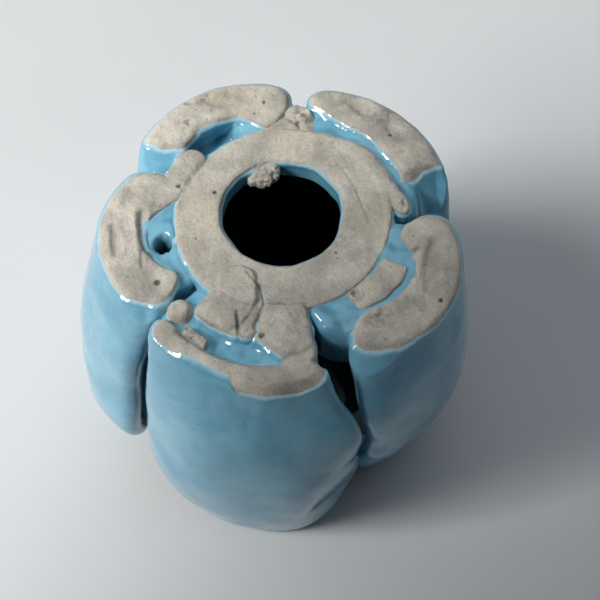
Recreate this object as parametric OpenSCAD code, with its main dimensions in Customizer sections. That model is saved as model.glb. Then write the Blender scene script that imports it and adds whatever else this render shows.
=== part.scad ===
// Ceramic flower frog in the form of a flower bud. A hollow pod stands inside a ring of five thick
// petals. It is drawn on its petal tips, with its unglazed foot upwards: the petal tips are on
// z = 0, the foot plane is the top, and the seed head with the stem holes faces down.
// A drop is a distance below the foot plane.

/* [Overall] */
// Height from the petal tips to the foot plane
height = 79; // [66:1:95]
// Radius of the petals' outer faces at the foot plane
foot_r = 37; // [34:0.5:44.5]
// Radius of the petals' outer faces at the belly
belly_r = 44.5; // [42:0.5:53.5]

/* [Petals] */
// Thickness of a petal at the foot
petal_t_foot = 9; // [7.5:0.1:10]
// Thickness of a petal at the belly
petal_t = 6; // [4.5:0.5:7.5]
// Drop of the petals' belly
belly_drop = 47; // [39:1:54]
// Drop at which a petal reaches its belly thickness
thin_drop = 32; // [20:1:40]
// Height of the rounding at a petal's tip
tip_round = 12; // [6:1:16]

/* [Foot ring] */
// Width of the channel between the ring and the petals
channel_w = 6.2; // [5:0.1:7.5]
// Thickness of the foot ring
ring_t = 6; // [4:0.5:8]
// Radius of the rounding on the ring's edges
ring_edge = 0.8; // [0.2:0.1:1.5]
// Diameter of the hole in the foot ring
foot_hole_d = 25.4; // [20:0.1:31]
// Distance of the ring's centre behind the petals' axis
ring_shift = 1.5; // [0:0.1:2]
// Distance of the hole's centre behind the ring's centre
hole_shift = 1.5; // [0:0.1:2]

/* [Pod] */
// Thickness of the pod's wall
pod_wall_t = 4.5; // [3:0.1:5.4]
// Gap between the pod's belly and the petals' inner faces
pod_gap = 8; // [6.5:0.1:10]
// Drop of the pod's belly
pod_belly_drop = 30; // [24:1:36]
// Radius of the seed head
seed_r = 24; // [22:0.5:29]
// Distance of the seed head's face above the petal tips
seed_z = 20; // [15:1:24]
// Thickness of the seed head
seed_t = 5; // [4:0.1:6]
// Radius of the seed head's rounded rim
seed_rim = 2; // [0.5:0.1:2.5]

/* [Stem holes] */
// Diameter of a stem hole
stem_d = 7.5; // [5:0.1:9]
// Radius of the circle that the outer stem holes lie on
stem_ring_r = 13; // [11:0.1:15.6]
// Number of outer stem holes
stem_count = 5; // [3:1:5]

/* [Luting and wads] */
// Drop of the luting's face, which the wads lie on
luting_drop = 4; // [3:0.1:5]
// Height of the luting
luting_h = 6; // [4:0.5:8]
// Gap between the luting, or what is smeared on it, and the ring, the pod and the petals
luting_gap = 0.15; // [0.1:0.01:0.3]
// Gap between other pieces that touch
fit_gap = 0.05; // [0.02:0.01:0.2]
// Diameter of the pellet
pellet_d = 4.4; // [3.6:0.1:5]
// Diameter of the blob in the foot ring's hole
blob_d = 4.2; // [3:0.1:5]

/* [Hidden] */
$fn = 72;

glaze = "skyblue";
clay = "tan";
damp_clay = "rosybrown";

// Each petal is a list: its azimuth in degrees from +X, how far its tip leans round, what its foot
// and belly add to foot_r and belly_r, how far its tip lies outside its belly, its half spans at the
// foot and the belly in degrees, its bend radii there as shares of its distance from the axis, and
// what its foot adds to petal_t_foot.
FRONT      = [252.5, 11, -0.5,  1.0,  -4.5, 28.3, 34.8, 0.71, 0.66, -4.5];
RIGHT      = [332.0,  0,  1.0, -0.5, -11.0, 28.0, 30.0, 0.54, 0.68,  0.5];
BACK_RIGHT = [ 47.0,  0,  0.5, -1.5, -10.0, 29.0, 32.0, 0.74, 0.70,  0.0];
BACK_LEFT  = [118.8,  0,  1.0, -0.5, -11.0, 27.6, 30.6, 0.66, 0.68,  0.0];
LEFT       = [186.0, -5,  0.0,  2.5,  -9.0, 28.0, 28.5, 0.54, 0.60,  0.5];
PETALS = [FRONT, RIGHT, BACK_RIGHT, BACK_LEFT, LEFT];

arc_steps = 10;      // facets across a petal's face
cap_steps = 5;       // facets round a petal's side edge, an odd number
foot_steps = 9;      // rings of points from the foot to the belly
tip_steps = 10;      // rings of points from the belly to the tip
wad_fn = 24;         // sides of the round wads

ring_r = foot_r - petal_t_foot - channel_w;
pod_belly_r = belly_r - petal_t - pod_gap;
pod_bottom_drop = height - seed_z - seed_t - fit_gap;

function smooth(x) = let (t = min(max(x, 0), 1)) t * t * (3 - 2 * t);
function mix(a, b, t) = a + (b - a) * t;
function polar(r, a) = [r * cos(a), r * sin(a)];
function turn(q, a) = [q[0] * cos(a) - q[1] * sin(a), q[0] * sin(a) + q[1] * cos(a)];

// Size of petal p at a drop
function past_belly(d) = max(d - belly_drop, 0) / (height - belly_drop);
function petal_r(p, d) = d < belly_drop
    ? mix(foot_r + p[2], belly_r + p[3], sin(90 * d / belly_drop))
    : belly_r + p[3] + p[4] * pow(past_belly(d), 2.2);
function petal_half(p, d) =
    mix((foot_r + p[2]) * p[5], (belly_r + p[3]) * p[6], smooth(d / belly_drop)) * PI / 180
    * sqrt(max(1 - pow(past_belly(d), 2.4), 0));
function petal_bend(p, d) =
    mix((foot_r + p[2]) * p[7], (belly_r + p[3]) * p[8], smooth(d / belly_drop));
function petal_thick(p, d) = min(2 * petal_half(p, d),
    mix(petal_t_foot + p[9], petal_t, smooth(d / thin_drop))
    * sqrt(1 - max(d - height + tip_round, 0) / tip_round));
function petal_azimuth(p, d) = p[0] + p[1] * d / height;

// Half angle of the petal's arc, from one side edge's centre to the middle
function half_angle(p, d) = let (t = petal_thick(p, d))
    max(petal_half(p, d) - t / 2, 0) / (petal_bend(p, d) - t / 2) * 180 / PI;
// Point at angle a round the petal's bend, inset from its outer face
function petal_point(p, d, a, inset) = let (b = petal_bend(p, d))
    turn([petal_r(p, d) - b, 0] + polar(b - inset, a), petal_azimuth(p, d));
// The side edge at half angle h, rounded from its face at angle from
function side_edge(p, d, h, from) = let (t = petal_thick(p, d), c = petal_point(p, d, h, t / 2))
    [for (j = [1:cap_steps - 1])
        c + polar(t / 2, petal_azimuth(p, d) + from + 180 * j / cap_steps)];
// Outline of the petal at a drop. Its first half is the outer side and its second the inner side.
function petal_ring(p, d) =
    let (h = half_angle(p, d), t = petal_thick(p, d), edge = side_edge(p, d, -h, 180 - h),
         inner_part = (cap_steps - 1) / 2)
    concat([for (j = [inner_part:cap_steps - 2]) edge[j]],
           [for (i = [0:arc_steps]) petal_point(p, d, mix(-h, h, i / arc_steps), 0)],
           side_edge(p, d, h, h),
           [for (i = [0:arc_steps]) petal_point(p, d, mix(h, -h, i / arc_steps), t)],
           [for (j = [0:inner_part - 1]) edge[j]]);
function petal_drops() = concat(
    [for (i = [0:foot_steps - 1]) belly_drop * i / foot_steps],
    [for (i = [0:tip_steps - 1]) mix(belly_drop, height, sin(90 * i / tip_steps))]);

// Moves the whole object so that its outline's middle is on the axis
outline = [for (p = PETALS, d = petal_drops(), q = petal_ring(p, d)) q];
function middle(k) = let (v = [for (q = outline) q[k]]) (min(v) + max(v)) / 2;
offset_x = -round(10 * middle(0)) / 10;
offset_y = -round(10 * middle(1)) / 10;
module place() {
    translate([offset_x, offset_y, 0]) children();
}

// Solid between equal rings of points, listed from the top down. Each ring runs along its outer
// side and back along its inner side. It ends in its last ring, or in a tip.
module loft(rings, z, tip = []) {
    n = len(rings[0]);
    last = (len(rings) - 1) * n;
    points = concat([for (k = [0:len(rings) - 1], q = rings[k]) [q[0], q[1], z[k]]], tip);
    sides = [for (k = [0:len(rings) - 2], i = [0:n - 1]) let (a = k * n + i, b = k * n + (i + 1) % n)
             each [[a, b, b + n], [a, b + n, a + n]]];
    top = [for (i = [0:n / 2 - 2]) [i + 1, i, n - 1 - i, n - 2 - i]];
    bottom = len(tip) > 0 ? [for (i = [0:n - 1]) [last + i, last + (i + 1) % n, last + n]]
                          : [for (q = top) [for (j = [3:-1:0]) last + q[j]]];
    polyhedron(points, concat(top, sides, bottom));
}

module petal(p) {
    drops = petal_drops();
    end = petal_point(p, height, 0, 0);
    color(glaze)
        loft([for (d = drops) petal_ring(p, d)], [for (d = drops) height - d],
             [[end[0], end[1], 0]]);
}

// Outer radius of the pod at a drop
function pod_r(d) = d < pod_belly_drop
    ? mix(pod_belly_r, ring_r, pow((pod_belly_drop - max(d, ring_t)) / (pod_belly_drop - ring_t), 2))
    : mix(pod_belly_r, seed_r, pow((d - pod_belly_drop) / (pod_bottom_drop - pod_belly_drop), 2));
// Distance from the petals' axis towards q to the ring, and below its underside to the pod
function core_r(q, d) = let (c = ring_shift * q[1] / norm(q),
                             ring = c + sqrt(pow(ring_r, 2) - pow(ring_shift, 2) + c * c))
    d < ring_t ? ring : d > ring_t ? pod_r(d) : max(ring, pod_r(d));

// Fills part of the channel behind petal p. The shares run from -1 to 1 along the petal's arc and
// from 0 at the ring to 1 at the petal.
module channel_fill(p, along, across, drops, gap) {
    steps = 12;
    function side(d, share, order) = [for (i = order)
        let (a = half_angle(p, d) * mix(along[0], along[1], i / steps),
             q = petal_point(p, d, a, petal_thick(p, d) + gap), u = q / norm(q))
        mix(u * (core_r(q, d) + gap), q, share)];
    loft([for (d = drops) concat(side(d, across[1], [0:steps]), side(d, across[0], [steps:-1:0]))],
         [for (d = drops) height - d]);
}

// Levels of the luting. One is at the ring's underside, where it steps in to the pod.
function luting_drops() =
    let (bottom = luting_drop + luting_h, step = min(max(ring_t, luting_drop), bottom))
    concat(step > luting_drop ? [luting_drop] : [],
           step < bottom ? [for (k = [0:2]) mix(step, bottom, k / 2)] : [bottom]);

module luting(p, along = [-0.9, 0.9]) {
    color(glaze) channel_fill(p, along, [0, 1], luting_drops(), luting_gap);
}

// Clay smeared on the luting's face
module smear(p, along, across, top_drop = 0) {
    color(clay)
        channel_fill(p, along, across, [top_drop, luting_drop - fit_gap], luting_gap);
}

// Point in the channel at an azimuth from the ring's centre, as a share of the channel's width
function in_channel(azimuth, share) =
    [0, ring_shift] + polar(ring_r + share * channel_w, azimuth);

// Lump whose face is in the foot plane, through points of [azimuth, share, radius / channel_w]
module lump(points) {
    color(clay) hull() for (q = points)
        translate([each in_channel(q[0], q[1]), height - luting_drop + fit_gap])
            cylinder(r = q[2] * channel_w, h = luting_drop - fit_gap, $fn = wad_fn);
}

module foot_ring() {
    profile = concat(
        [[0, 0], [ring_r, 0]],
        [for (a = [0:15:90]) [ring_r - ring_edge, ring_t - ring_edge] + polar(ring_edge, a)],
        [[0, ring_t]]);
    color(clay) place()
        translate([0, ring_shift, height - ring_t]) difference() {
            rotate_extrude() polygon(profile);
            translate([0, hole_shift, -1]) cylinder(d = foot_hole_d, h = ring_t + 2);
        }
}

module pod_wall() {
    steps = 12;
    drops = [for (i = [0:steps]) mix(ring_t + fit_gap, pod_bottom_drop, i / steps)];
    outer = [for (d = drops) [pod_r(d), height - d]];
    inner = [for (i = [steps:-1:0]) outer[i] - [pod_wall_t, 0]];
    color(glaze) place() rotate_extrude() polygon(concat(outer, inner));
}

module stem_plate() {
    profile = concat(
        [[0, 0]],
        [for (a = [-90:15:0]) [seed_r - seed_rim, seed_rim] + polar(seed_rim, a)],
        [[seed_r, seed_t], [0, seed_t]]);
    color(glaze) place() translate([0, 0, seed_z]) difference() {
        rotate_extrude() polygon(profile);
        translate([0, 0, -1]) cylinder(d = stem_d, h = seed_t + 2);
        for (i = [0:stem_count - 1])
            rotate(i * 360 / stem_count) translate([stem_ring_r, 0, -1])
                cylinder(d = stem_d, h = seed_t + 2);
    }
}

module petal_front() { place() petal(FRONT); }
module petal_right() { place() petal(RIGHT); }
module petal_back_right() { place() petal(BACK_RIGHT); }
module petal_back_left() { place() petal(BACK_LEFT); }
module petal_left() { place() petal(LEFT); }

module luting_front() { place() luting(FRONT, [-1.15, 0.9]); }
module luting_right() { place() luting(RIGHT); }
module luting_back_right() { place() luting(BACK_RIGHT); }
module luting_back_left() { place() luting(BACK_LEFT); }
module luting_left() { place() luting(LEFT); }

module wad_front() { place() smear(FRONT, [0.35, 0.95], [0, 1]); }
module wad_front_left() { place() smear(FRONT, [-0.8, 0.15], [0, 0.45]); }
module wad_right() { place() smear(RIGHT, [-0.9, 0.1], [0.15, 0.75]); }
module wad_back() { place() lump([[83.6, 0.36, 0.34], [83.6, 0.72, 0.26]]); }
module wad_left() { place() lump([[147, 0.26, 0.24], [155, 0.24, 0.22]]); }
module ring_tongue() { place() lump([[19, 0.18, 0.16], [9, 0.44, 0.13], [5, 0.5, 0.1]]); }
module sliver() { place() smear(FRONT, [-0.8, -0.4], [0.84, 0.98], 0.4); }

module pellet() {
    spot = petal_point(FRONT, 0, -1.1 * half_angle(FRONT, 0),
                       petal_thick(FRONT, 0) + pellet_d / 2 + fit_gap);
    color(damp_clay) place() intersection() {
        translate([spot[0], spot[1], height - 0.4 * pellet_d]) sphere(d = pellet_d);
        translate([spot[0] - pellet_d, spot[1] - pellet_d, height - 2 * pellet_d])
            cube(2 * pellet_d);
    }
}

module hole_blob() {
    // Each ball is [azimuth from the hole's centre, share of blob_d, drop of its centre]
    balls = [[112, 1, 2.6], [102, 0.8, 2.2], [120, 0.7, 3.4]];
    color(clay) place()
        translate([0, ring_shift + hole_shift, height]) hull() for (b = balls)
            rotate(b[0]) translate([(foot_hole_d - b[1] * blob_d) / 2 - fit_gap, 0, -b[2]])
                sphere(d = b[1] * blob_d, $fn = wad_fn);
}

foot_ring();
pod_wall();
stem_plate();
petal_front();
petal_right();
petal_back_right();
petal_back_left();
petal_left();
luting_front();
luting_right();
luting_back_right();
luting_back_left();
luting_left();
wad_front();
wad_front_left();
wad_right();
wad_back();
wad_left();
ring_tongue();
pellet();
sliver();
hole_blob();
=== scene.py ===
"""Looks of a hand-built ceramic flower frog: sky blue glaze, bare clay foot, soft daylight."""

import math

import bmesh
import bpy
import numpy as np
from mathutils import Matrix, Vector
from mathutils.bvhtree import BVHTree


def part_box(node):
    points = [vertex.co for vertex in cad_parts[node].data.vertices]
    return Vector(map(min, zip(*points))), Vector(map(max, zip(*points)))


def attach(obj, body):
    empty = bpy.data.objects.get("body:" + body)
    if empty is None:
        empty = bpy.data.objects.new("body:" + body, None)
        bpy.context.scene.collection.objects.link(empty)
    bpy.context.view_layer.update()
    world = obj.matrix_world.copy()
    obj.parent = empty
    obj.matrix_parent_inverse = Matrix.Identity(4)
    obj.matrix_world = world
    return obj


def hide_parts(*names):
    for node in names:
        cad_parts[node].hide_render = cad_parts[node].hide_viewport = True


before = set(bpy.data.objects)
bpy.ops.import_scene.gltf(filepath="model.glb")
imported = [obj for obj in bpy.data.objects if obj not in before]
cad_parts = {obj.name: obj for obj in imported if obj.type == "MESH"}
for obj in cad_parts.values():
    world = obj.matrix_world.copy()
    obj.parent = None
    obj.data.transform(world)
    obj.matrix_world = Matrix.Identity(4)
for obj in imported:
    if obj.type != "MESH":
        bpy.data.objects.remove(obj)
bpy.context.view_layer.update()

MM = 0.001
PETALS = ["petal_front", "petal_right", "petal_back_right", "petal_back_left", "petal_left"]
LUTINGS = [name.replace("petal", "luting") for name in PETALS]
WADS = ["wad_front", "wad_front_left", "wad_right", "wad_back", "wad_left", "ring_tongue",
        "pellet", "sliver", "hole_blob"]
COARSE = 1.0


# ---------------------------------------------------------------- the object's own coordinates
# Points are in millimetres from the point where the bud's axis meets the foot plane, +h upwards.
def middle(node):
    """The middle of a CAD node's box, in metres."""
    low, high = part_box(node)
    return (low + high) / 2


bud_axis = middle("stem_plate")
ORIGIN = np.array([bud_axis.x, bud_axis.y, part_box("foot_ring")[1].z])
RING_CENTRE = (np.array(middle("foot_ring"))[:2] - ORIGIN[:2]) / MM
RING_R = (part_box("foot_ring")[1].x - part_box("foot_ring")[0].x) / 2 / MM


def read(mesh):
    """A mesh's points in the object's own coordinates."""
    points = np.empty(len(mesh.vertices) * 3, np.float64)
    mesh.vertices.foreach_get("co", points)
    return (points.reshape(-1, 3) - ORIGIN) / MM


def write(mesh, points):
    """Puts a mesh's points at places in the object's own coordinates."""
    mesh.vertices.foreach_set("co", (points * MM + ORIGIN).astype(np.float32).ravel())
    mesh.update()


def normals_of(mesh):
    """The direction that each point of a mesh faces."""
    normals = np.empty(len(mesh.vertices) * 3, np.float64)
    mesh.vertices.foreach_get("normal", normals)
    return normals.reshape(-1, 3)


def edges_of(mesh):
    """The two point numbers of each edge of a mesh."""
    edges = np.empty(len(mesh.edges) * 2, np.int64)
    mesh.edges.foreach_get("vertices", edges)
    return edges.reshape(-1, 2)


def store(mesh, name, values):
    """Keeps a number for each point of a mesh, for its material to read."""
    attribute = mesh.attributes.get(name) or mesh.attributes.new(name, "FLOAT", "POINT")
    attribute.data.foreach_set("value", values.astype(np.float32))


# ---------------------------------------------------------------- shaping tools
def smooth(x):
    """Eases from 0 to 1 as x goes from 0 to 1."""
    x = np.clip(x, 0, 1)
    return x * x * (3 - 2 * x)


GRADIENTS = np.random.default_rng(11).normal(size=(256, 3))
GRADIENTS /= np.linalg.norm(GRADIENTS, axis=1)[:, None]
SHUFFLE = np.random.default_rng(5).permutation(256)


def noise(points, size, seed=0):
    """Smooth noise from about -1 to 1 whose bumps are size millimetres across."""
    q = points / size + seed * 17.31
    cell = np.floor(q).astype(np.int64)
    f = q - cell
    w = f * f * f * (f * (f * 6 - 15) + 10)
    total = np.zeros(len(q))
    for corner in np.ndindex(2, 2, 2):
        c = np.array(corner)
        i = (cell + c) & 255
        pick = SHUFFLE[(SHUFFLE[(SHUFFLE[i[:, 0]] + i[:, 1]) & 255] + i[:, 2]) & 255]
        share = np.prod(np.where(c == 1, w, 1 - w), axis=1)
        total += share * np.einsum("ij,ij->i", GRADIENTS[pick], f - c)
    return total * 1.6


def lumps(points, size, seed=0, octaves=3):
    """Noise with finer and weaker noise on top of it."""
    return sum(noise(points, size / 2 ** k, seed + k) * 0.5 ** k for k in range(octaves))


def near_path(points, path):
    """Distance in plan from a path of (x, y) points, and how far along it from 0 to 1."""
    best = np.full(len(points), 1e9)
    along = np.zeros(len(points))
    path = np.array(path, float)
    for k in range(len(path) - 1):
        a, b = path[k], path[k + 1]
        t = np.clip(((points[:, :2] - a) @ (b - a)) / ((b - a) @ (b - a)), 0, 1)
        d = np.linalg.norm(points[:, :2] - a - t[:, None] * (b - a), axis=1)
        closer = d < best
        best[closer] = d[closer]
        along[closer] = (k + t[closer]) / (len(path) - 1)
    return best, along


def near_point(points, centre):
    """Distance in plan from a point."""
    return np.linalg.norm(points[:, :2] - np.array(centre[:2]), axis=1)


def fresh(name, mesh):
    """A new object in the scene with this mesh."""
    obj = bpy.data.objects.new(name, mesh)
    bpy.context.scene.collection.objects.link(obj)
    return obj


def applied(obj):
    """The object, with its modifiers applied to its mesh and none left."""
    depsgraph = bpy.context.evaluated_depsgraph_get()
    mesh = bpy.data.meshes.new_from_object(obj.evaluated_get(depsgraph))
    old = obj.data
    obj.modifiers.clear()
    obj.data = mesh
    bpy.data.meshes.remove(old)
    return obj


# How a CAD mesh is cleaned before it is made even: a distance in metres, then angles in degrees.
SAME_POINT = 1e-6
NEARLY_FLAT = 30
NEARLY_SQUARE = 60
SHARP_EDGE = 50
KEPT_SHARP = 0.5
SMOOTH_STRENGTH = 0.8


def skin(node, voxel, rounds, subdivisions=0):
    """A new piece with the shape of a CAD node, in even faces of voxel mm, smoothed some rounds."""
    form = bmesh.new()
    form.from_mesh(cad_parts[node].data)
    bmesh.ops.remove_doubles(form, verts=form.verts, dist=SAME_POINT)
    if subdivisions:
        bmesh.ops.join_triangles(form, faces=form.faces,
                                 angle_face_threshold=math.radians(NEARLY_FLAT),
                                 angle_shape_threshold=math.radians(NEARLY_SQUARE))
        crease = form.edges.layers.float.new("crease_edge")
        for edge in form.edges:
            if edge.calc_face_angle(0) > math.radians(SHARP_EDGE):
                edge[crease] = KEPT_SHARP
    mesh = bpy.data.meshes.new(node + "_skin")
    form.to_mesh(mesh)
    form.free()
    obj = fresh(node + "_skin", mesh)
    if subdivisions:
        obj.modifiers.new("round", "SUBSURF").levels = subdivisions
    remesh = obj.modifiers.new("even", "REMESH")
    remesh.mode = "VOXEL"
    remesh.voxel_size = voxel * MM * COARSE
    soft = obj.modifiers.new("soft", "SMOOTH")
    soft.factor = SMOOTH_STRENGTH
    soft.iterations = max(1, round(rounds / COARSE ** 2))
    return applied(obj)


def refine(obj, lowest):
    """Splits the faces above a height, in mm from the foot plane, in four."""
    form = bmesh.new()
    form.from_mesh(obj.data)
    limit = ORIGIN[2] + lowest * MM
    edges = [e for e in form.edges if min(v.co.z for v in e.verts) > limit]
    bmesh.ops.subdivide_edges(form, edges=edges, cuts=1, use_grid_fill=True, smooth=1.0)
    form.to_mesh(obj.data)
    form.free()


def tree_of(obj):
    """A search tree over the object's faces."""
    form = bmesh.new()
    form.from_mesh(obj.data)
    tree = BVHTree.FromBMesh(form)
    form.free()
    return tree


# ---------------------------------------------------------------- the worked clay of the foot
# Paths and points are given in millimetres in plan from the bud's axis.
# Clay smeared over the ring: path, half width, rise.
SMEARS = [
    ([(-8.7, -13.8), (-8.2, -17.0), (-9.4, -20.0), (-12.5, -21.5)], 4.1, 0.80),
    ([(-5.9, -20.5), (-6.2, -24.5)], 2.0, 0.35),
    ([(-1.2, -21.5), (0.6, -27.0)], 3.6, 0.60),
    ([(2.6, -21.5), (3.6, -30.0)], 3.4, 0.45),
    ([(13.0, -18.2), (17.5, -17.0), (21.2, -12.0)], 2.1, 0.35),
    ([(1.0, 25.6), (5.2, 25.8)], 1.8, 0.30),
    ([(-22.5, 11.5), (-19.0, 13.6)], 1.8, 0.25),
    ([(22.2, 9.5), (24.8, 3.0)], 1.5, 0.20),
]
# Dents pressed into the clay: path, half width, depth.
DENTS = [
    ([(-28.6, 2.2), (-27.9, -1.5), (-27.1, -6.0)], 1.0, 1.00),
    ([(-34.1, -1.0), (-33.4, -4.0), (-33.0, -7.4)], 0.9, 0.50),
    ([(-32.0, 5.0), (-31.0, 7.5)], 1.3, 0.30),
    ([(-20.8, 31.4), (-20.1, 30.7)], 0.8, 0.45),
    ([(-20.3, 25.4), (-19.6, 25.3)], 0.7, 0.60),
    ([(-15.0, 31.0), (-8.0, 32.5)], 2.2, 0.35),
    ([(15.0, 31.2), (17.0, 29.3), (19.4, 27.8)], 1.7, 0.65),
    ([(22.5, 24.0), (25.5, 21.0)], 1.2, 0.35),
    ([(30.8, -4.8), (30.0, -10.0), (29.0, -15.2)], 1.5, 0.60),
    ([(17.2, -22.4), (20.8, -22.4)], 1.4, 0.60),
    ([(26.0, -11.2), (26.1, -12.0)], 0.7, 0.90),
    ([(-19.5, -24.9), (-16.0, -26.2)], 0.8, 0.45),
    ([(14.5, -16.4), (14.9, -16.7)], 0.6, 0.90),
    ([(3.2, 25.4), (3.6, 25.9)], 0.5, 0.60),
    ([(5.4, 26.3), (5.7, 26.6)], 0.4, 0.50),
    ([(8.4, -19.8), (9.6, -20.0)], 0.4, 0.35),
]
# Creases and scratches: path, half width, depth.
CREASES = [
    ([(-3.1, -18.5), (-1.0, -18.9), (1.5, -18.8), (5.0, -18.4)], 0.24, 0.40),
    ([(-6.6, -12.0), (-4.6, -14.5), (-3.4, -17.0), (-3.2, -18.6), (-4.1, -21.2)], 0.28, 0.45),
    ([(-4.1, -21.2), (-4.9, -24.0), (-3.0, -25.8)], 0.34, 0.60),
    ([(-8.5, -20.8), (-8.2, -23.0), (-8.0, -25.8)], 0.34, 0.60),
    ([(11.0, 15.6), (13.5, 12.1), (15.5, 8.0), (16.5, 4.5), (17.8, 0.5)], 0.22, 0.16),
    ([(-28.0, -6.5), (-27.6, -10.6)], 0.26, 0.40),
    ([(22.2, 13.2), (24.0, 10.4), (24.6, 8.0)], 0.30, 0.50),
    ([(25.0, 5.4), (25.0, 4.2)], 0.35, 0.45),
    ([(25.0, -7.6), (27.6, -6.0)], 0.40, 0.60),
    ([(5.6, -19.6), (7.5, -19.9), (9.5, -19.2)], 0.26, 0.30),
    ([(-19.2, -23.7), (-17.0, -24.7), (-15.2, -25.6)], 0.30, 0.60),
    ([(6.5, -27.5), (4.5, -29.5), (0.5, -30.2)], 0.40, 0.30),
]
# Pinholes: where, and their radius.
PINHOLES = [(-13.8, 7.6, 0.40), (-21.3, 8.8, 0.45), (-4.0, 30.7, 0.35), (-6.0, 27.7, 0.25),
            (23.0, 22.0, 0.38), (-24.3, -14.0, 0.60), (31.3, -18.0, 0.42), (-17.2, -3.6, 0.20),
            (11.0, -7.0, 0.22), (-7.9, -26.0, 0.65), (-3.6, -25.6, 0.50)]
# Dark and yellowish stains: where, and their radius.
SMUDGES = [(11.8, -4.2, 1.6), (9.6, -18.9, 1.5), (29.0, 6.0, 2.0), (-17.5, 32.0, 2.2),
           (14.3, -16.8, 1.3), (19.0, -21.5, 2.4), (20.5, 27.0, 2.6), (-4.3, 14.4, 1.6),
           (-16.5, -25.6, 1.8), (24.5, 11.0, 1.4)]
YELLOWED = [(-18.3, -1.5, 5.0), (-16.0, 5.0, 4.0), (20.5, 0.5, 4.5), (-12.0, 33.0, 7.0),
            (2.0, 21.0, 5.0)]
# Places where the top of a petal or wad slopes down into the glaze: start, direction, half width, slope.
SLOPES = {
    "petal_front": [((-14.0, -29.5), 247, 12.0, 0.75), ((-22.0, -22.0), 150, 5.0, 0.5)],
    "petal_back_left": [((-24.0, 20.6), 258, 8.0, 1.0), ((-9.5, 26.2), 285, 3.5, 0.8),
                        ((-15.5, 26.5), 290, 3.5, 1.2)],
    "petal_back_right": [((27.0, 13.8), 288, 6.0, 1.5), ((9.6, 29.8), 232, 7.0, 1.5),
                         ((17.0, 24.0), 232, 6.0, 0.8)],
    "petal_right": [((19.5, -27.0), 262, 8.0, 0.6), ((14.8, -22.5), 190, 4.0, 0.7)],
    "petal_left": [((-30.0, -16.4), 262, 5.0, 0.8), ((-28.6, 11.6), 95, 1.6, 1.2)],
    "wad_front": [((-1.0, -27.0), 237, 4.5, 1.5)],
    "wad_front_left": [((-12.0, -22.6), 250, 7.0, 0.6)],
}
# Places where a petal's inner edge was pulled towards the ring: centre, radius, push.
LIPS = {
    "petal_right": [((26.2, -3.5), 6.0, 2.2)],
    "petal_back_left": [((-3.5, 28.0), 5.5, 3.4)],
    "petal_left": [((-24.0, 9.0), 6.0, 4.8), ((-25.5, 3.0), 4.0, 1.2), ((-22.0, -13.0), 4.0, 1.6)],
    "petal_back_right": [((22.5, 19.0), 5.0, 0.8)],
}
# Places where more of the clay is bare, or less: path, half width, how much further down.
WIPED = [
    ([(-5.5, -35.0), (1.0, -34.5), (4.5, -32.5)], 3.2, 2.6),
    ([(26.2, 13.0), (26.8, 12.8)], 1.4, 2.2),
]


RING_SUNK = 0.42
RING_RIM = 1.2
RING_EASE = 1.5
SMEAR_SUNK = 0.25
SLOPE_EASE = 1.2
SLOPE_FADES = 16
DEEPEST_SLOPE = 9
TOP_FULL = 0.6
TOP_FADES = 2.4


def foot_relief(p):
    """How far the worked surface of the foot stands above the foot plane, in millimetres."""
    flat = p * [1, 1, 0]
    wobble = 0.35 * noise(flat, 2.6, 4)
    off_ring = np.linalg.norm(p[:, :2] - RING_CENTRE, axis=1) - RING_R + RING_RIM
    height = -RING_SUNK + RING_SUNK * smooth(off_ring / RING_EASE)
    for path, half, rise in SMEARS:
        away, _ = near_path(p, path)
        inside = smooth((half - away + wobble) / 0.9)
        height = np.maximum(height, height + (rise - SMEAR_SUNK - height) * inside)
    pressed = lumps(flat, 6.5, 3)
    on_ring = 1 - smooth(off_ring / RING_EASE)
    height += (0.34 - 0.22 * on_ring) * np.minimum(pressed, 0.12)
    height += (0.10 - 0.05 * on_ring) * lumps(flat, 2.2, 8)
    for path, half, depth in DENTS:
        away, along = near_path(p, path)
        taper = 0.7 + 0.3 * np.sin(along * math.pi)
        height -= depth * smooth((half * 1.5 * taper - away + wobble * 0.6) / half)
        height += 0.18 * depth * np.exp(-((away - half * 1.7) / (0.4 * half)) ** 2)
    for path, half, depth in CREASES:
        away, along = near_path(p, path)
        taper = 0.35 + 0.65 * np.sin(np.clip(along, 0.02, 0.98) * math.pi)
        height -= 1.4 * depth * taper * np.exp(-((away + wobble * 0.15) / half) ** 2)
    for x, y, radius in PINHOLES:
        height -= 0.5 * smooth((radius + 0.1 - near_point(p, (x, y))) / 0.3)
    return height + 0.035 * lumps(flat, 0.9, 21)


def sloped(p, slopes):
    """How far the top of a piece is sunk by its sloping places, in millimetres."""
    depth = np.zeros(len(p))
    for (x, y), direction, half, steep in slopes:
        c, s = math.cos(math.radians(direction)), math.sin(math.radians(direction))
        past = (p[:, 0] - x) * c + (p[:, 1] - y) * s + 0.35 * noise(p * [1, 1, 0], 5, 14)
        aside = np.abs((p[:, 1] - y) * c - (p[:, 0] - x) * s)
        begun = np.maximum(past, 0) ** 2 / (2 * SLOPE_EASE)
        eased = np.where(past < SLOPE_EASE, begun, past - SLOPE_EASE / 2)
        depth = np.maximum(depth, steep * eased * smooth((half - aside) / 3 + 0.5))
    return np.minimum(depth, DEEPEST_SLOPE)


def work_top(p, slopes=()):
    """Lowers the sloping places and presses the relief into whatever lies near the foot plane."""
    drop = -p[:, 2]
    if slopes:
        p[:, 2] -= sloped(p, slopes) * np.clip(1 - drop / SLOPE_FADES, 0, 1)
    drop = -p[:, 2]
    p[:, 2] += foot_relief(p) * (1 - smooth((drop - TOP_FULL) / TOP_FADES))
    return p


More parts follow.
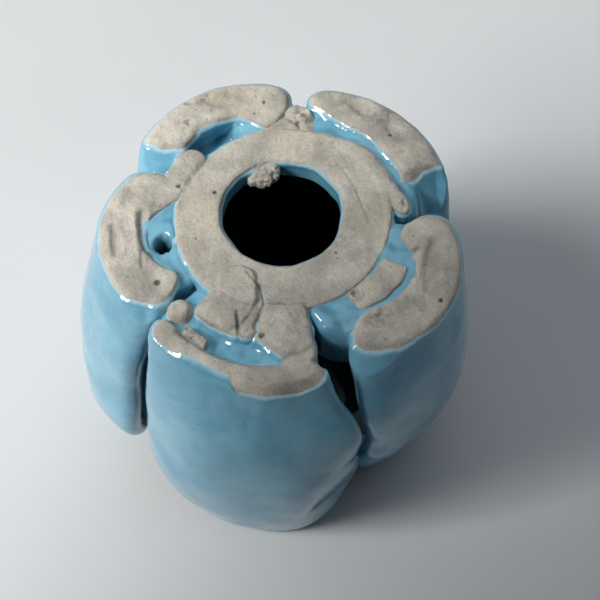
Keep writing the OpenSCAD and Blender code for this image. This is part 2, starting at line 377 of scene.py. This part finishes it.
def bareness(p, wiped_to):
    """Millimetres from the edge of the glaze, above 0 where the clay is bare."""
    edge = wiped_to + 0.40 * lumps(p, 5.0, 31, 2)
    for path, half, more in WIPED:
        away, _ = near_path(p, path)
        edge += more * smooth((half + 1.5 - away) / 2.2)
    return edge + p[:, 2]


def stains_and_painted_shade(mesh, p):
    """Stores how dark and how yellow the bare clay is at each point: real stains, and painted shade in
    pinholes, creases and dents.
    """
    dark = np.zeros(len(p))
    # Painted shade: pinholes, creases and dents are darkened, creases and dents more the deeper they
    # are.
    for x, y, radius in PINHOLES:
        dark = np.maximum(dark, 1.2 * smooth((radius + 0.15 - near_point(p, (x, y))) / 0.35))
    for path, half, depth in CREASES:
        away, _ = near_path(p, path)
        dark = np.maximum(dark, 0.9 * depth * np.exp(-(away / half / 1.2) ** 2))
    for path, half, depth in DENTS:
        away, _ = near_path(p, path)
        dark = np.maximum(dark, 0.30 * depth * smooth((1.6 * half - away) / half))
    for x, y, size in SMUDGES:
        patchy = smooth(0.5 + 0.9 * lumps(p, 1.3, 51))
        dark = np.maximum(dark, 0.60 * patchy * np.exp(-(near_point(p, (x, y)) / size) ** 2))
    yellow = np.zeros(len(p))
    for x, y, size in YELLOWED:
        yellow = np.maximum(yellow, np.exp(-(near_point(p, (x, y)) / size) ** 2))
    store(mesh, "dark", dark)
    store(mesh, "yellow", yellow * smooth(0.6 + 0.5 * lumps(p, 3.0, 61)))


# ---------------------------------------------------------------- glaze and joints
# In millimetres: the glaze's thickness, how much more it has at its rim, and how far it bridges.
GLAZE_T = 0.28
MENISCUS = 0.16
JOINT_REACH = 2.2
LEAST_REACH = 0.25
# How far a neighbour is looked for beside a point, and what counts as far from it.
BESIDE = 0.8
FAR = 6.0


def coat(obj, wiped_to):
    """Marks the bare clay and thickens the rest by the glaze, rounded where it ends."""
    mesh = obj.data
    p = read(mesh)
    bare = bareness(p, wiped_to)
    thick = GLAZE_T * smooth(-bare / 0.6) + MENISCUS * np.exp(-((bare + 0.75) / 0.45) ** 2)
    write(mesh, p + normals_of(mesh) * thick[:, None])
    store(mesh, "bare", bare)
    stains_and_painted_shade(mesh, p)


def neighbours_reach(obj, others, reach):
    """How far each point is from other pieces, counted further where they fall away beside it."""
    mesh = obj.data
    count = len(mesh.vertices)
    nearest = np.full(count, reach)
    world = read(mesh) * MM + ORIGIN
    normals = normals_of(mesh)
    for other, tree, low, high in others:
        if other is obj:
            continue
        close = np.all((world > low - reach * MM) & (world < high + reach * MM), axis=1)
        for i in np.nonzero(close)[0]:
            point = Vector(world[i])
            hit = tree.find_nearest(point, reach * MM)
            if hit[0] is None:
                continue
            beside = point + Vector(normals[i]) * BESIDE * MM
            lifted = tree.find_nearest(beside, FAR * MM)
            rise = FAR if lifted[0] is None else lifted[3] / MM
            falls_away = max(0.0, rise - hit[3] / MM - 0.15)
            nearest[i] = min(nearest[i], hit[3] / MM + falls_away * 3)
    return nearest


def fill_joints(pieces):
    """Lets the glaze run into a rounded fillet wherever two pieces meet."""
    others = []
    for obj in pieces:
        world = read(obj.data) * MM + ORIGIN
        others.append((obj, tree_of(obj), world.min(0), world.max(0)))
    moves = {}
    for obj in pieces:
        p = read(obj.data)
        room = LEAST_REACH + (JOINT_REACH - LEAST_REACH) * smooth((-p[:, 2] - 0.5) / 2.0)
        near = neighbours_reach(obj, others, JOINT_REACH)
        moves[obj.name] = np.maximum(np.sqrt(room) - np.sqrt(near), 0) ** 2
    for obj in pieces:
        push = evened(obj.data, moves[obj.name], 6)
        write(obj.data, read(obj.data) + normals_of(obj.data) * push[:, None])
        soften(obj.data, smooth(push / 0.2), 4)


def evened(mesh, values, rounds):
    """The values averaged over neighbouring points some rounds over."""
    edges = edges_of(mesh)
    links = np.bincount(edges.ravel(), minlength=len(values))
    for _ in range(rounds):
        total = np.bincount(edges[:, 0], values[edges[:, 1]], len(values))
        total += np.bincount(edges[:, 1], values[edges[:, 0]], len(values))
        values = 0.5 * values + 0.5 * total / np.maximum(links, 1)
    return values


def soften(mesh, amount, rounds):
    """Smooths the surface where amount is above 0."""
    p = read(mesh)
    for _ in range(rounds):
        smoothed = np.stack([evened(mesh, p[:, k], 1) for k in range(3)], axis=1)
        p += (smoothed - p) * amount[:, None]
    write(mesh, p)


# ---------------------------------------------------------------- pieces
def pull_lips(p, lips):
    """Pulls the inner edge of a petal's top towards the ring."""
    inward = RING_CENTRE - p[:, :2]
    inward /= np.linalg.norm(inward, axis=1)[:, None]
    for centre, radius, push in lips:
        near = np.exp(-(near_point(p, centre) / radius * 1.4) ** 2)
        p[:, :2] += inward * (push * near * smooth(1 + p[:, 2] / 7))[:, None]
    return p


# How far the side edges of each petal lean out towards their neighbours: clockwise, anticlockwise.
SWELLS = {
    "petal_front": (0.9, 9.6),
    "petal_right": (5.8, 1.2),
    "petal_back_right": (1.2, 0.8),
    "petal_back_left": (0.8, 1.5),
    "petal_left": (1.5, 2.2),
}


def swell(p, node):
    """Leans the side edges of a petal out towards its neighbours below the foot."""
    out = np.array(middle(node))[:2] - ORIGIN[:2]
    side = np.array([-out[1], out[0]]) / np.linalg.norm(out)
    across = p[:, :2] @ side
    share = smooth((np.abs(across) / np.abs(across).max() - 0.35) / 0.6)
    drop = -p[:, 2]
    share *= smooth(drop / 3) * (1 - smooth((drop - 14) / 25))
    clockwise, anticlockwise = SWELLS[node]
    push = np.where(across > 0, anticlockwise, -clockwise) * share
    p[:, :2] += side * push[:, None]
    return p


# Places low on the petals pressed in (push below 0) or out: azimuth, half angle, drop, push.
TUCK_HEIGHT = 15
TUCKS = [(318, 32, 62, -5.0), (200, 26, 58, 2.6), (285, 16, 60, -1.5), (232, 14, 64, 1.2),
         (262, 9, 46, -0.9), (276, 6, 58, 1.0), (246, 8, 34, 0.6), (212, 7, 40, -0.8)]


def tuck(p):
    """Presses the lower halves of the petals in and out where hands shaped them."""
    reach = np.linalg.norm(p[:, :2], axis=1)
    angle = np.degrees(np.arctan2(p[:, 1], p[:, 0])) % 360
    push = np.zeros(len(p))
    for azimuth, half, drop, depth in TUCKS:
        off = (angle - azimuth + 180) % 360 - 180
        push += depth * np.exp(-(off / half) ** 2 - ((-p[:, 2] - drop) / TUCK_HEIGHT) ** 2)
    p[:, :2] *= (1 + push / np.maximum(reach, 12))[:, None]
    return p


def petal(node, seed):
    """A petal with worked edges, pressed in and out by hand, and worked clay on its top."""
    obj = skin(node, 0.55, 14, subdivisions=2)
    refine(obj, -9)
    mesh = obj.data
    p = pull_lips(read(mesh), LIPS.get(node, []))
    p = tuck(swell(p, node))
    hand = 0.50 * noise(p, 17, seed) + 0.22 * noise(p, 8, seed + 3)
    p += normals_of(mesh) * (hand * smooth((-p[:, 2] - 2) / 12))[:, None]
    write(mesh, work_top(p, SLOPES[node]))
    soften(mesh, 0.5 * smooth((-p[:, 2] - 0.2) / 0.5), 3)
    return obj


# Where the ring bulges outwards: direction, half angle, push.
BULGES = [(36, 30, 3.4), (96, 22, 0.7)]


def uneven_ring(p):
    """Pulls the ring out of true: it bulges at the back right, and its edges wander."""
    away = p[:, :2] - RING_CENTRE
    reach = np.linalg.norm(away, axis=1)
    angle = np.degrees(np.arctan2(away[:, 1], away[:, 0]))
    outer = smooth((reach - 14) / 7)
    flat = p * [1, 1, 0.3]
    push = sum(most * np.exp(-((angle - azimuth) / half) ** 2) for azimuth, half, most in BULGES)
    push = outer * push
    push += 0.32 * noise(flat, 7, 201) + 0.20 * noise(flat, 3.2, 202)
    p[:, :2] += away / reach[:, None] * push[:, None]
    return p


def ring(node):
    """The foot ring, out of true, with worked clay on its face."""
    obj = skin(node, 0.32, 14)
    refine(obj, -0.9)
    write(obj.data, work_top(uneven_ring(read(obj.data))))
    return obj


def spread_round(p, back, forth):
    """Stretches an arc of the channel about its middle, by one share each way round."""
    away = p[:, :2] - RING_CENTRE
    angle = np.arctan2(away[:, 1], away[:, 0])
    mid = np.arctan2(np.sin(angle).mean(), np.cos(angle).mean())
    turn = (angle - mid + math.pi) % (2 * math.pi) - math.pi
    turn = mid + turn * np.where(turn > 0, forth, back)
    reach = np.linalg.norm(away, axis=1)
    p[:, 0] = RING_CENTRE[0] + reach * np.cos(turn)
    p[:, 1] = RING_CENTRE[1] + reach * np.sin(turn)
    return p


# How many times longer each luting is either way round than in the CAD, and its rise in mm:
# clockwise, anticlockwise, rise.
RUNS_ON = {
    "luting_front": (1.10, 1.0, 0.5),
    "luting_right": (2.40, 1.60, 2.2),
    "luting_back_right": (1.80, 1.35, 1.2),
    "luting_back_left": (1.30, 1.25, 1.2),
    "luting_left": (1.30, 1.60, 1.6),
}
LUTING_HOLE = (-24.0, -4.4)
LUTING_HOLE_R = 2.1
LUTING_HOLE_DEPTH = 7.5
RECESS = [(-18.5, 20.5), (-13.0, 25.0)]
RECESS_HALF = 4.4
RECESS_DEPTH = 5.0
# The narrow tail of luting_right: full below this direction, in degrees, fading over the ease.
TAIL_FULL = 284
TAIL_EASE = 14
TAIL_RISE = 1.9
TAIL_NARROWED = 0.25
# Lutings are lifted where they lie less than this far below the foot plane.
LUTING_LIFT = 8


def narrow_tail(p):
    """Draws the front end of the right-hand luting in to a web along the ring."""
    away = p[:, :2] - RING_CENTRE
    angle = np.degrees(np.arctan2(away[:, 1], away[:, 0])) % 360
    reach = np.linalg.norm(away, axis=1)
    tail = 1 - smooth((angle - TAIL_FULL) / TAIL_EASE)
    reach -= (reach - RING_R) * TAIL_NARROWED * tail
    p[:, 2] += TAIL_RISE * tail * smooth((LUTING_LIFT + p[:, 2]) / 3)
    p[:, :2] = RING_CENTRE + away / np.linalg.norm(away, axis=1)[:, None] * reach[:, None]
    return p


def luting(node):
    """The clay that joins the ring to a petal, widened until it runs into both."""
    obj = skin(node, 0.4, 8)
    mesh = obj.data
    back, forth, rise = RUNS_ON[node]
    p = spread_round(read(mesh) + normals_of(mesh) * 0.7, back, forth)
    lift = rise * smooth((LUTING_LIFT + p[:, 2]) / 3)
    p[:, 2] += lift + 0.9 * noise(p, 4.6, 71) + 0.25 * noise(p, 2.2, 72)
    if node == "luting_right":
        p = narrow_tail(p)
    if node == "luting_back_left":
        p[:, 2] -= RECESS_DEPTH * smooth((RECESS_HALF - near_path(p, RECESS)[0]) / 2.4)
    if node == "luting_left":
        in_hole = smooth((LUTING_HOLE_R - near_point(p, LUTING_HOLE)) / 0.6)
        p[:, 2] -= LUTING_HOLE_DEPTH * in_hole * (p[:, 2] > -9)
    write(mesh, p)
    return obj


# How far each lump is spread sideways, in mm.
WAD_SPREAD = 0.8
SPREAD = {"wad_front": 1.2, "wad_front_left": 1.2, "wad_back": 1.6, "wad_left": 1.9,
          "ring_tongue": 0.9}
# How many times longer some lumps are round the ring than in the CAD: clockwise, anticlockwise.
DRAWN_OUT = {"wad_front": (1.0, 1.4), "wad_right": (1.45, 1.25), "wad_back": (1.1, 2.4),
             "wad_left": (1.2, 1.0)}


def wad(node):
    """A lump of clay pressed into the channel, spread a little over what lies around it."""
    obj = skin(node, 0.3, 16)
    mesh = obj.data
    p = read(mesh)
    sideways = normals_of(mesh) * [1, 1, 0.1]
    p += sideways * (SPREAD.get(node, WAD_SPREAD) + 0.35 * noise(p, 2.5, 81))[:, None]
    if node in DRAWN_OUT:
        p = spread_round(p, *DRAWN_OUT[node])
    if node == "wad_back":
        p[:, 2] -= 1.0 + 0.8 * lumps(p, 2.2, 83)
    write(mesh, p)
    refine(obj, -1.2)
    write(mesh, work_top(read(mesh), SLOPES.get(node, ())))
    return obj


# The loose bits: how rough they are, and how much fuller than their core, in mm.
LOOSE = {"pellet": (0.10, 0.35), "hole_blob": (0.55, 0.2), "sliver": (0.25, 0.1)}


def loose(node):
    """A small loose bit of clay, rough all over and a little fuller than its core."""
    rough, fuller = LOOSE[node]
    obj = skin(node, 0.2, 4)
    mesh = obj.data
    p = read(mesh)
    p += normals_of(mesh) * (fuller + rough * lumps(p, 1.4, 91))[:, None]
    write(mesh, p)
    return obj


def hidden_glazed(node, voxel):
    """A glazed part inside the bud, a little uneven."""
    obj = skin(node, voxel, 6)
    mesh = obj.data
    p = read(mesh)
    p += normals_of(mesh) * (0.35 * noise(p, 9, 41))[:, None]
    write(mesh, p)
    return obj


def painted_shade_in_hollows(node, p):
    """How much painted shade darkens the glaze in a piece's hollows, from 0 to 1."""
    if node in ("pod_wall", "stem_plate"):
        return smooth((-p[:, 2] - 6.0) / 5.0)
    if node == "luting_left":
        return smooth((LUTING_HOLE_R - near_point(p, LUTING_HOLE)) / 0.8)
    if node == "luting_back_left":
        return 0.5 * smooth((-p[:, 2] - 4.0) / 4.0)
    if node in LUTINGS:
        return 0.6 * smooth((-p[:, 2] - 2.6) / 3.5)
    return np.zeros(len(p))


# Drop below the foot plane at which a piece's bare clay ends, in mm.
WIPED_DROP = 1.0
WIPED_TO = {"wad_back": 3.0, "petal_right": 1.35}
WIPED_TO.update(dict.fromkeys(LOOSE, 5.0))
WIPED_TO.update(dict.fromkeys(LUTINGS, -3.0))


def build_pieces():
    """Every piece of the looks by the name of the node that it stands for."""
    pieces = {}
    for k, node in enumerate(PETALS):
        pieces[node] = petal(node, 100 + 7 * k)
    for node in LUTINGS:
        pieces[node] = luting(node)
    pieces["foot_ring"] = ring("foot_ring")
    for node in WADS:
        pieces[node] = loose(node) if node in LOOSE else wad(node)
    pieces["pod_wall"] = hidden_glazed("pod_wall", 0.6)
    pieces["stem_plate"] = hidden_glazed("stem_plate", 0.45)
    fill_joints(list(pieces.values()))
    for node, obj in pieces.items():
        coat(obj, WIPED_TO.get(node, WIPED_DROP))
        # Painted shade: how much the glaze is darkened, and its reflections dulled, in hollows and deep
        # channels.
        store(obj.data, "painted_shade", painted_shade_in_hollows(node, read(obj.data)))
    return pieces


# ---------------------------------------------------------------- materials
class Nodes:
    """Short ways to add and link shader nodes."""

    def __init__(self, name):
        self.material = bpy.data.materials.new(name)
        self.material.use_nodes = True
        self.tree = self.material.node_tree
        self.tree.nodes.clear()
        self.position = self.add("ShaderNodeNewGeometry").outputs["Position"]

    def add(self, kind, **settings):
        """A new node with these settings."""
        node = self.tree.nodes.new(kind)
        for key, value in settings.items():
            setattr(node, key, value)
        return node

    def feed(self, socket, value):
        """Links an output to a socket, or sets a plain value on it."""
        if isinstance(value, bpy.types.NodeSocket):
            self.tree.links.new(value, socket)
        else:
            socket.default_value = value

    def maths(self, operation, a, b):
        """One sum on two values."""
        node = self.add("ShaderNodeMath", operation=operation)
        self.feed(node.inputs[0], a)
        self.feed(node.inputs[1], b)
        return node.outputs[0]

    def noise(self, size_mm, detail=3.0, roughness=0.5, shift=0.0):
        """Noise about as coarse as size_mm, shifted so that two noises don't match."""
        moved = self.add("ShaderNodeVectorMath", operation="ADD")
        self.feed(moved.inputs[0], self.position)
        moved.inputs[1].default_value = (shift, shift * 0.7, shift * 0.3)
        node = self.add("ShaderNodeTexNoise")
        self.feed(node.inputs["Vector"], moved.outputs[0])
        node.inputs["Scale"].default_value = 1 / (size_mm * MM)
        node.inputs["Detail"].default_value = detail
        node.inputs["Roughness"].default_value = roughness
        return node.outputs["Fac"]

    def ramp(self, value, low, high, start=0.0, end=1.0):
        """Eases from start to end as the value goes from low to high."""
        node = self.add("ShaderNodeMapRange", interpolation_type="SMOOTHSTEP")
        self.feed(node.inputs["Value"], value)
        node.inputs["From Min"].default_value = low
        node.inputs["From Max"].default_value = high
        node.inputs["To Min"].default_value = start
        node.inputs["To Max"].default_value = end
        return node.outputs["Result"]

    def mix(self, share, a, b, blend="MIX"):
        """A colour between a and b, or a blended with b."""
        node = self.add("ShaderNodeMix", data_type="RGBA", blend_type=blend)
        self.feed(node.inputs["Factor"], share)
        self.feed(node.inputs[6], a)
        self.feed(node.inputs[7], b)
        return node.outputs[2]

    def attribute(self, name):
        """A number stored on the mesh's points."""
        return self.add("ShaderNodeAttribute", attribute_name=name).outputs["Fac"]

    def bump(self, height, distance_mm, under=None):
        """A normal roughened by height, on top of the one under it."""
        node = self.add("ShaderNodeBump")
        node.inputs["Strength"].default_value = 1.0
        node.inputs["Distance"].default_value = distance_mm * MM
        self.feed(node.inputs["Height"], height)
        if under is not None:
            self.feed(node.inputs["Normal"], under)
        return node.outputs["Normal"]

    def finish(self, shader):
        """The material, with this shader on its surface."""
        output = self.add("ShaderNodeOutputMaterial")
        self.tree.links.new(shader, output.inputs["Surface"])
        return self.material


GLAZE_DEEP = (0.126, 0.372, 0.525, 1)
GLAZE_BODY = (0.208, 0.480, 0.625, 1)
GLAZE_THIN = (0.480, 0.640, 0.690, 1)
# Painted shade: the near black that the glaze is darkened towards in its hollows.
GLAZE_PAINTED_SHADE = (0.006, 0.028, 0.040, 1)
GLAZE_SEED = (0.050, 0.120, 0.170, 1)
CLAY_PALE = (0.650, 0.608, 0.520, 1)
CLAY_GREY = (0.430, 0.402, 0.350, 1)
CLAY_YELLOW = (0.640, 0.560, 0.380, 1)
# Real dark flecks, and painted shade in pinholes, creases and dents.
CLAY_DARK = (0.085, 0.072, 0.055, 1)


def bare_clay(n):
    """Dry, sandy, fired clay, stained where hands and the kiln shelf touched it, with painted shade in
    its pinholes, creases and dents.
    """
    colour = n.mix(n.ramp(n.noise(7.0, 4), 0.35, 0.68), CLAY_PALE, CLAY_GREY)
    colour = n.mix(n.maths("MULTIPLY", n.attribute("yellow"), 0.55), colour, CLAY_YELLOW)
    sand = n.ramp(n.noise(0.45, 4, 0.7), 0.30, 0.72, 0.84, 1.10)
    colour = n.mix(1.0, colour, sand, "MULTIPLY")
    flecks = n.ramp(n.noise(0.8, 2, 0.6, 0.05), 0.65, 0.73)
    colour = n.mix(n.maths("MULTIPLY", flecks, 0.45), colour, CLAY_DARK)
    # Real stains, and painted shade in pinholes, creases and dents.
    stain_and_painted_shade = n.maths("MULTIPLY", n.attribute("dark"), n.ramp(n.noise(0.7, 3), 0.25, 0.55, 0.7, 1.0))
    colour = n.mix(n.maths("MINIMUM", stain_and_painted_shade, 0.9), colour, CLAY_DARK)
    shader = n.add("ShaderNodeBsdfPrincipled")
    n.feed(shader.inputs["Base Color"], colour)
    n.feed(shader.inputs["Roughness"], n.ramp(n.noise(1.2, 3), 0.3, 0.7, 0.62, 0.82))
    shader.inputs["Specular IOR Level"].default_value = 0.28
    grain = n.bump(n.noise(0.35, 4, 0.7), 0.15)
    n.feed(shader.inputs["Normal"], n.bump(n.noise(1.3, 3, 0.6, 0.02), 0.26, grain))
    return shader.outputs[0]


def glassy_glaze(n, edge):
    """Thick shiny glaze, paler where it thins out, with slow shifts in its depth, and painted shade in
    its hollows.
    """
    depth = n.ramp(n.noise(14.0, 3, 0.5, 0.03), 0.32, 0.68)
    colour = n.mix(depth, GLAZE_BODY, GLAZE_DEEP)
    mottled = n.ramp(n.noise(2.6, 4, 0.6, 0.06), 0.30, 0.75, 0.93, 1.05)
    colour = n.mix(1.0, colour, mottled, "MULTIPLY")
    thin = n.ramp(edge, -0.75, -0.05, 0.0, 0.85)
    colour = n.mix(thin, colour, GLAZE_THIN)
    # Painted shade: the glaze is darker in the hollows, where shade falls.
    colour = n.mix(n.attribute("painted_shade"), colour, GLAZE_PAINTED_SHADE)
    seeds = n.ramp(n.noise(0.9, 1, 0.5, 0.09), 0.74, 0.79)
    colour = n.mix(n.maths("MULTIPLY", seeds, 0.5), colour, GLAZE_SEED)
    shader = n.add("ShaderNodeBsdfPrincipled")
    n.feed(shader.inputs["Base Color"], colour)
    n.feed(shader.inputs["Roughness"], n.ramp(n.noise(6.0, 3, 0.5, 0.04), 0.3, 0.7, 0.07, 0.14))
    shader.inputs["IOR"].default_value = 1.52
    # The painted shade also dulls the glaze's reflections in the hollows.
    n.feed(shader.inputs["Specular IOR Level"], n.ramp(n.attribute("painted_shade"), 0.2, 1.0, 0.55, 0.08))
    pooled = n.bump(n.noise(5.0, 2, 0.4, 0.07), 0.10)
    n.feed(shader.inputs["Normal"], n.bump(n.noise(1.1, 2, 0.5, 0.08), 0.018, pooled))
    return shader.outputs[0]


def glazed_clay(name):
    """Glaze below the wiped edge and bare clay above it."""
    n = Nodes(name)
    wander = n.maths("MULTIPLY", n.maths("SUBTRACT", n.noise(0.9, 4, 0.65, 0.01), 0.5), 0.75)
    edge = n.maths("ADD", n.attribute("bare"), wander)
    shader = n.add("ShaderNodeMixShader")
    n.feed(shader.inputs[0], n.ramp(edge, -0.06, 0.06))
    n.feed(shader.inputs[1], glassy_glaze(n, edge))
    n.feed(shader.inputs[2], bare_clay(n))
    return n.finish(shader.outputs[0])


def painted_board(name, colour):
    """Matt paint with a barely uneven tone."""
    n = Nodes(name)
    tone = n.ramp(n.noise(60.0, 3), 0.3, 0.7, 0.985, 1.015)
    shader = n.add("ShaderNodeBsdfPrincipled")
    n.feed(shader.inputs["Base Color"], n.mix(1.0, colour, tone, "MULTIPLY"))
    shader.inputs["Roughness"].default_value = 0.55
    shader.inputs["Specular IOR Level"].default_value = 0.25
    n.feed(shader.inputs["Normal"], n.bump(n.noise(3.0, 3), 0.02))
    return n.finish(shader.outputs[0])


# ---------------------------------------------------------------- setting
FLOOR = (0.60, 0.612, 0.618, 1)
WORLD = (0.80, 0.88, 1.00)
WORLD_STRENGTH = 0.07
FLOOR_HALF = 2.0
# Lights, aimed at a point below the origin of the object's coordinates: degrees, metres, watts.
WINDOW = {"azimuth": 200, "elevation": 47, "away": 1.60, "size": (0.50, 0.55), "power": 28.0,
          "colour": (1.0, 0.985, 0.96)}
GLINT = {"azimuth": 205, "elevation": 52, "away": 0.90, "size": (0.08, 0.32), "power": 1.9,
         "colour": (1.0, 0.99, 0.97)}
CEILING = {"azimuth": 75, "elevation": 72, "away": 1.20, "size": (1.40, 1.40), "power": 5.0,
           "colour": (0.88, 0.94, 1.0)}
AIM_BELOW_FOOT = 30
# Dark cards that keep light off the front: metres, and degrees from lying flat.
OVERHEAD_CARD = {"centre": (-0.147, -0.198, 0.28), "half": (0.175, 0.10), "tilt": 0, "turn": 50}
FRONT_CARD = {"centre": (0.10, -0.55, 0.35), "half": (0.60, 0.35), "tilt": 90, "turn": 0}
CARD_COLOUR = (0.03, 0.03, 0.035, 1)
# The camera's place in the object's own coordinates, its tilt from straight down, and its lens.
CAMERA_AT = (3.75, -118.9, 185.8)
CAMERA_TILT = 28.5
LENS = 65.1
SENSOR = 36
NEAREST_SEEN = 0.01


def rectangle(name, half_x, half_y):
    """A flat rectangle about the origin."""
    mesh = bpy.data.meshes.new(name)
    corners = [(-half_x, -half_y, 0), (half_x, -half_y, 0), (half_x, half_y, 0), (-half_x, half_y, 0)]
    mesh.from_pydata(corners, [], [(0, 1, 2, 3)])
    return fresh(name, mesh)


def soft_light(name, spec):
    """A rectangular light that isn't seen by the camera itself."""
    data = bpy.data.lights.new(name, "AREA")
    data.shape = "RECTANGLE"
    data.size, data.size_y = spec["size"]
    data.energy = spec["power"]
    data.color = spec["colour"]
    lamp = bpy.data.objects.new(name, data)
    bpy.context.scene.collection.objects.link(lamp)
    turn, lift = math.radians(spec["azimuth"]), math.radians(spec["elevation"])
    level = math.cos(lift)
    towards = Vector((math.cos(turn) * level, math.sin(turn) * level, math.sin(lift)))
    aim = Vector(ORIGIN) - Vector((0, 0, AIM_BELOW_FOOT * MM))
    lamp.location = aim + towards * spec["away"]
    lamp.rotation_euler = (-towards).to_track_quat("-Z", "Y").to_euler()
    lamp.visible_camera = False


def card(name, spec):
    """A dark card that shades the scene but isn't seen by the camera itself."""
    obj = rectangle(name, *spec["half"])
    obj.location = spec["centre"]
    obj.rotation_euler = (math.radians(spec["tilt"]), 0, math.radians(spec["turn"]))
    obj.data.materials.append(painted_board(name, CARD_COLOUR))
    obj.visible_camera = False


def setting():
    """The pale floor, the lights, the shading cards and the room's faint light."""
    floor = rectangle("floor", FLOOR_HALF, FLOOR_HALF)
    floor.data.materials.append(painted_board("white_board", FLOOR))
    soft_light("window", WINDOW)
    soft_light("glint", GLINT)
    soft_light("ceiling", CEILING)
    card("overhead_card", OVERHEAD_CARD)
    card("front_card", FRONT_CARD)
    world = bpy.data.worlds.new("room")
    world.use_nodes = True
    background = world.node_tree.nodes["Background"]
    background.inputs["Color"].default_value = (*WORLD, 1)
    background.inputs["Strength"].default_value = WORLD_STRENGTH
    bpy.context.scene.world = world
    bpy.context.scene.view_settings.view_transform = "Standard"


def camera():
    """The camera, above the foot and in front of it."""
    data = bpy.data.cameras.new("camera")
    data.lens = LENS
    data.sensor_width = SENSOR
    data.clip_start = NEAREST_SEEN
    eye = bpy.data.objects.new("camera", data)
    bpy.context.scene.collection.objects.link(eye)
    eye.location = Vector(ORIGIN) + Vector(CAMERA_AT) * MM
    eye.rotation_euler = (math.radians(CAMERA_TILT), 0, 0)
    bpy.context.scene.camera = eye


# ---------------------------------------------------------------- putting it together
def finish_pieces(pieces):
    """Gives every piece and CAD node its material, hangs each piece under the root body and hides its
    CAD node.
    """
    coats = {"glaze": glazed_clay("sky_blue_glaze"), "bare_clay": glazed_clay("bare_stoneware")}
    glazed = PETALS + LUTINGS + ["pod_wall", "stem_plate"]
    for node, obj in pieces.items():
        slot = "glaze" if node in glazed else "bare_clay"
        obj.data.materials.clear()
        obj.data.materials.append(coats[slot])
        obj.data.shade_smooth()
        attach(obj, "root")
        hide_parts(node)
        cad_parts[node].data.materials.clear()
        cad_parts[node].data.materials.append(coats[slot])


finish_pieces(build_pieces())
setting()
camera()
